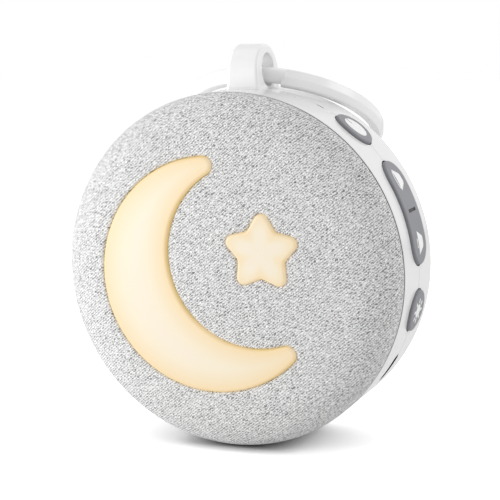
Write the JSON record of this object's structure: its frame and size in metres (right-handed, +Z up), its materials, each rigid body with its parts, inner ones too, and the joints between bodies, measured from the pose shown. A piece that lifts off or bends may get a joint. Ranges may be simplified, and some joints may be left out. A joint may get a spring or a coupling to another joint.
{
  "type": "white noise sound machine",
  "caption": "Round portable sound machine that stands on its rim, with a domed cloth front, a glowing moon window, rim controls and a swinging carry ring.",
  "frame": {"origin": "middle of the foot pad's resting face, under the seam between the two housing halves", "axes": "+Z up through the lug; the cloth front faces -Y and the back +Y; +X is the side with the controls"},
  "size_m": [0.1008, 0.0786, 0.1128],
  "materials": {
    "basket_black": "black painted steel basket",
    "battery_wrap": "blue film over the cell",
    "board_green": "green circuit board",
    "board_white": "white lamp board",
    "cap_paper": "black pressed paper dome",
    "chip_black": "black chip package",
    "cloth": "light heather grey woven cloth stretched over the front",
    "coil_copper": "varnished copper wire on a former",
    "cone_paper": "black pressed paper",
    "foam_black": "black foam gasket",
    "foot_rubber": "pale grey silicone",
    "grey_key": "soft-touch mid grey with a white printed sign",
    "lamp_yellow": "warm white lamp",
    "magnet_grey": "sintered magnet",
    "pin_steel": "ground steel pin",
    "plug_rubber": "white-grey rubber",
    "ring_white": "smooth white bendy plastic",
    "roll_rubber": "black rubber roll",
    "socket_steel": "stamped steel shell, blackened",
    "status_dark": "smoked light slit",
    "steel": "zinc plated steel",
    "switch_black": "black switch body",
    "tongue_black": "black moulded tongue",
    "white_gloss": "glossy white moulded plastic",
    "white_inner": "plain white moulded plastic",
    "window": "milky diffuser, lit warm from behind",
    "yoke_zinc": "zinc plated pot"
  },
  "bodies": {
    "body": {"fabric_cover": "cloth", "front_grille": "white_inner", "moon_lens": "window", "star_lens": "window", "light_tray": "white_inner", "moon_led_board": "board_white", "star_led_board": "board_white", "leds": "lamp_yellow", "front_housing": "white_gloss", "rear_housing": "white_gloss", "housing_screws": "steel", "rear_feet": "plug_rubber", "foot_pad": "foot_rubber", "rocker_pin": "pin_steel", "main_board": "board_green", "main_chip": "chip_black", "tact_switches": "switch_black", "board_screws": "steel", "usb_c_shell": "socket_steel", "usb_c_tongue": "tongue_black", "status_lens": "status_dark", "speaker_gasket": "foam_black", "speaker_frame": "basket_black", "speaker_yoke": "yoke_zinc", "speaker_magnet": "magnet_grey", "speaker_surround": "roll_rubber", "speaker_screws": "steel", "battery": "battery_wrap", "hanging_lug": "white_gloss"},
    "power_button": {"power_button": "grey_key"},
    "light_button": {"light_button": "grey_key"},
    "volume_rocker": {"volume_rocker": "grey_key"},
    "speaker_cone": {"speaker_cone": "cone_paper", "dust_cap": "cap_paper", "voice_coil": "coil_copper"},
    "carry_ring": {"carry_ring": "ring_white"}
  },
  "joints": [
    {"name": "power_press", "type": "slide", "parent": "body", "child": "power_button", "axis": [-0.6293, 0, -0.7771], "range_m": [0, 0.0007], "stiffness_N_per_m": 400, "springref_m": -0.0008},
    {"name": "light_press", "type": "slide", "parent": "body", "child": "light_button", "axis": [-0.9744, 0, 0.225], "range_m": [0, 0.0007], "stiffness_N_per_m": 400, "springref_m": -0.0008},
    {"name": "volume_rock", "type": "hinge", "parent": "body", "child": "volume_rocker", "pos_m": [0.04395, 0, 0.06608], "axis": [0, 1, 0], "range_deg": [-2.5, 2.5], "stiffness_Nm_per_rad": 0.05},
    {"name": "cone_travel", "type": "slide", "parent": "body", "child": "speaker_cone", "axis": [0, -1, 0], "range_m": [-0.0005, 0.0005], "stiffness_N_per_m": 1000},
    {"name": "ring_swing", "type": "hinge", "parent": "body", "child": "carry_ring", "pos_m": [0, 0.005, 0.1042], "axis": [1, 0, 0], "range_deg": [0, 227]}
  ]
}
